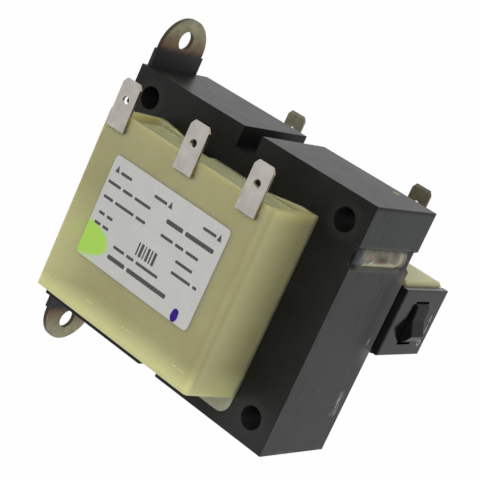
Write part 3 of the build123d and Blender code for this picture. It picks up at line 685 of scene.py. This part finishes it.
def pointer(tip, base, middle):
    """Printed pointer: a plate drawn in to a point at its end towards the terminals."""
    piece = on_label(tip, base, middle - POINTER_WIDE / 2, middle + POINTER_WIDE / 2)
    bpy.ops.object.mode_set(mode="EDIT")
    bpy.ops.mesh.select_all(action="DESELECT")
    shape = bmesh.from_edit_mesh(piece.data)
    for corner in shape.verts:
        corner.select_set(corner.co.x < (tip + base) / 2 * MM)
    bmesh.update_edit_mesh(piece.data)
    bpy.ops.transform.resize(value=(1, 1, 0), center_override=Vector((tip, LABEL_FACE, middle)) * MM)
    bpy.ops.mesh.remove_doubles(threshold=0.001 * MM)
    bpy.ops.object.mode_set(mode="OBJECT")
    return piece


def printed_row(down, start, end, tall, shares):
    """Row of plain blocks across the label, as wide as their shares, with a gap between."""
    step = (end - start - WORD_GAP * (len(shares) - 1)) / sum(shares)
    blocks = []
    for share in shares:
        block = on_label(down - tall / 2, down + tall / 2, start, start + share * step)
        blocks.append(round_outline(block, THIN_Y, WORD_CORNER * tall))
        start += share * step + WORD_GAP
    return blocks


def join(name, pieces, material, body):
    """One piece of several, riding on a body."""
    bpy.ops.object.select_all(action="DESELECT")
    for piece in pieces:
        piece.select_set(True)
    bpy.context.view_layer.objects.active = pieces[0]
    bpy.ops.object.join()
    whole = bpy.context.active_object
    whole.name = name
    whole.data.name = name
    whole.data.materials.clear()
    whole.data.materials.append(material)
    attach(whole, body)


def print_label():
    """Three pointers to the tabs above, rows of plain blocks for the ratings, and a few upright bars."""
    ink = [pointer(*place) for place in POINTERS]
    for row in PRINTED_ROWS:
        ink += printed_row(*row)
    for start, wide in BARS:
        ink.append(round_outline(on_label(BAR_TOP, BAR_FOOT, start, start + wide), THIN_Y, BAR_CORNER))
    printing_ink = ink_film("printing ink", 0.8, (52, 52, 54), (70, 70, 72), 0.55)
    join("label_print", ink, printing_ink, "transformer")


def mark_bezel():
    """Bar, dash and ring beside the rocker, for its two positions."""
    marks = []
    for outline in (BEZEL_BAR, BEZEL_DASH):
        mark = plate(*outline, BEZEL_FACE - INK, BEZEL_FACE + INK)
        marks.append(round_outline(mark, THIN_Z, BEZEL_CORNER))
    bpy.ops.object.select_all(action="DESELECT")
    bpy.ops.mesh.primitive_torus_add(location=Vector((RING_X, RING_Y, BEZEL_FACE)) * MM,
                                     major_radius=RING_RADIUS * MM, minor_radius=RING_LINE / 2 * MM,
                                     major_segments=32, minor_segments=8)
    ring = bpy.context.active_object
    ring.scale = (1.0, 1.0, 2 * INK / RING_LINE)
    bpy.ops.object.transform_apply(location=True, rotation=False, scale=True)
    white_legend = ink_film("white legend", 0.5, (158, 158, 158), (190, 190, 190), 0.5)
    join("bezel_marks", marks + [ring], white_legend, "transformer")


def raise_dashes():
    """Short raised dashes near the cover's lower edge, as its mould leaves them."""
    dashes = []
    for start, end in DASHES:
        dash = plate(DASH_TOP, DASH_FOOT, COVER_FACE - DASH_RISE, COVER_FACE + DASH_RISE, start, end)
        dashes.append(round_outline(dash, THIN_Y, DASH_CORNER))
    mould_mark = dull("mould mark", (205, 200, 148), (215, 210, 160), 0.4)
    join("mould_dashes", dashes, mould_mark, "transformer")


print_label()
mark_bezel()
raise_dashes()


# Studio

def white_where_seen(tree):
    """1 where the camera, a reflection or a see-through ray looks, otherwise 0."""
    path = node(tree, "LightPath").outputs
    seen = maths(tree, "MAXIMUM", path["Is Camera Ray"], path["Is Glossy Ray"])
    return maths(tree, "MAXIMUM", seen, path["Is Transmission Ray"])


def make_floor():
    """Pale floor that looks almost white and keeps the part's shadow."""
    bpy.ops.object.select_all(action="DESELECT")
    bpy.ops.mesh.primitive_plane_add(size=FLOOR_SIZE, location=(0, 0, -FLOOR_DROP))
    floor = bpy.context.active_object
    floor.name = "floor"
    material = bpy.data.materials.new("pale floor")
    material.use_nodes = True
    tree = material.node_tree
    tree.nodes.remove(tree.nodes["Principled BSDF"])
    matte = node(tree, "BsdfDiffuse", {"Color": (FLOOR_TONE, FLOOR_TONE, FLOOR_TONE, 1.0)}).outputs[0]
    white = node(tree, "Emission", {"Color": (1.0, 1.0, 1.0, 1.0), "Strength": 1.0}).outputs[0]
    share = times(tree, white_where_seen(tree), FLOOR_WHITE)
    mixed = node(tree, "MixShader", {0: share, 1: matte, 2: white}).outputs[0]
    tree.links.new(mixed, tree.nodes["Material Output"].inputs["Surface"])
    floor.data.materials.append(material)


def make_world():
    """White surroundings that light the part less than they look."""
    world = bpy.data.worlds.new("studio")
    bpy.context.scene.world = world
    world.use_nodes = True
    tree = world.node_tree
    background = tree.nodes["Background"]
    background.inputs["Color"].default_value = (1.0, 1.0, 1.0, 1.0)
    strength = span(tree, white_where_seen(tree), 0.0, 1.0, WORLD_LIGHT, 1.0)
    tree.links.new(strength, background.inputs["Strength"])


def make_key():
    """Soft square lamp aimed at the middle of the part."""
    bpy.ops.object.light_add(type="AREA", location=KEY_PLACE)
    lamp = bpy.context.active_object
    lamp.name = "key"
    lamp.data.size = KEY_SIZE
    lamp.data.energy = KEY_POWER
    lamp.rotation_mode = "QUATERNION"
    lamp.rotation_quaternion = (AIM - KEY_PLACE).to_track_quat("-Z", "Y")


def make_camera():
    """Camera at the photograph's place and angle."""
    bpy.ops.object.camera_add()
    camera = bpy.context.active_object
    camera.data.lens = LENS
    camera.data.sensor_width = SENSOR
    camera.data.clip_start = NEAR_CLIP
    turn = Matrix((VIEW_RIGHT, VIEW_UP, -VIEW_AWAY)).transposed()
    camera.matrix_world = Matrix.Translation(EYE) @ turn.to_4x4()
    bpy.context.scene.camera = camera


make_floor()
make_world()
make_key()
make_camera()
bpy.context.scene.view_settings.view_transform = "Standard"
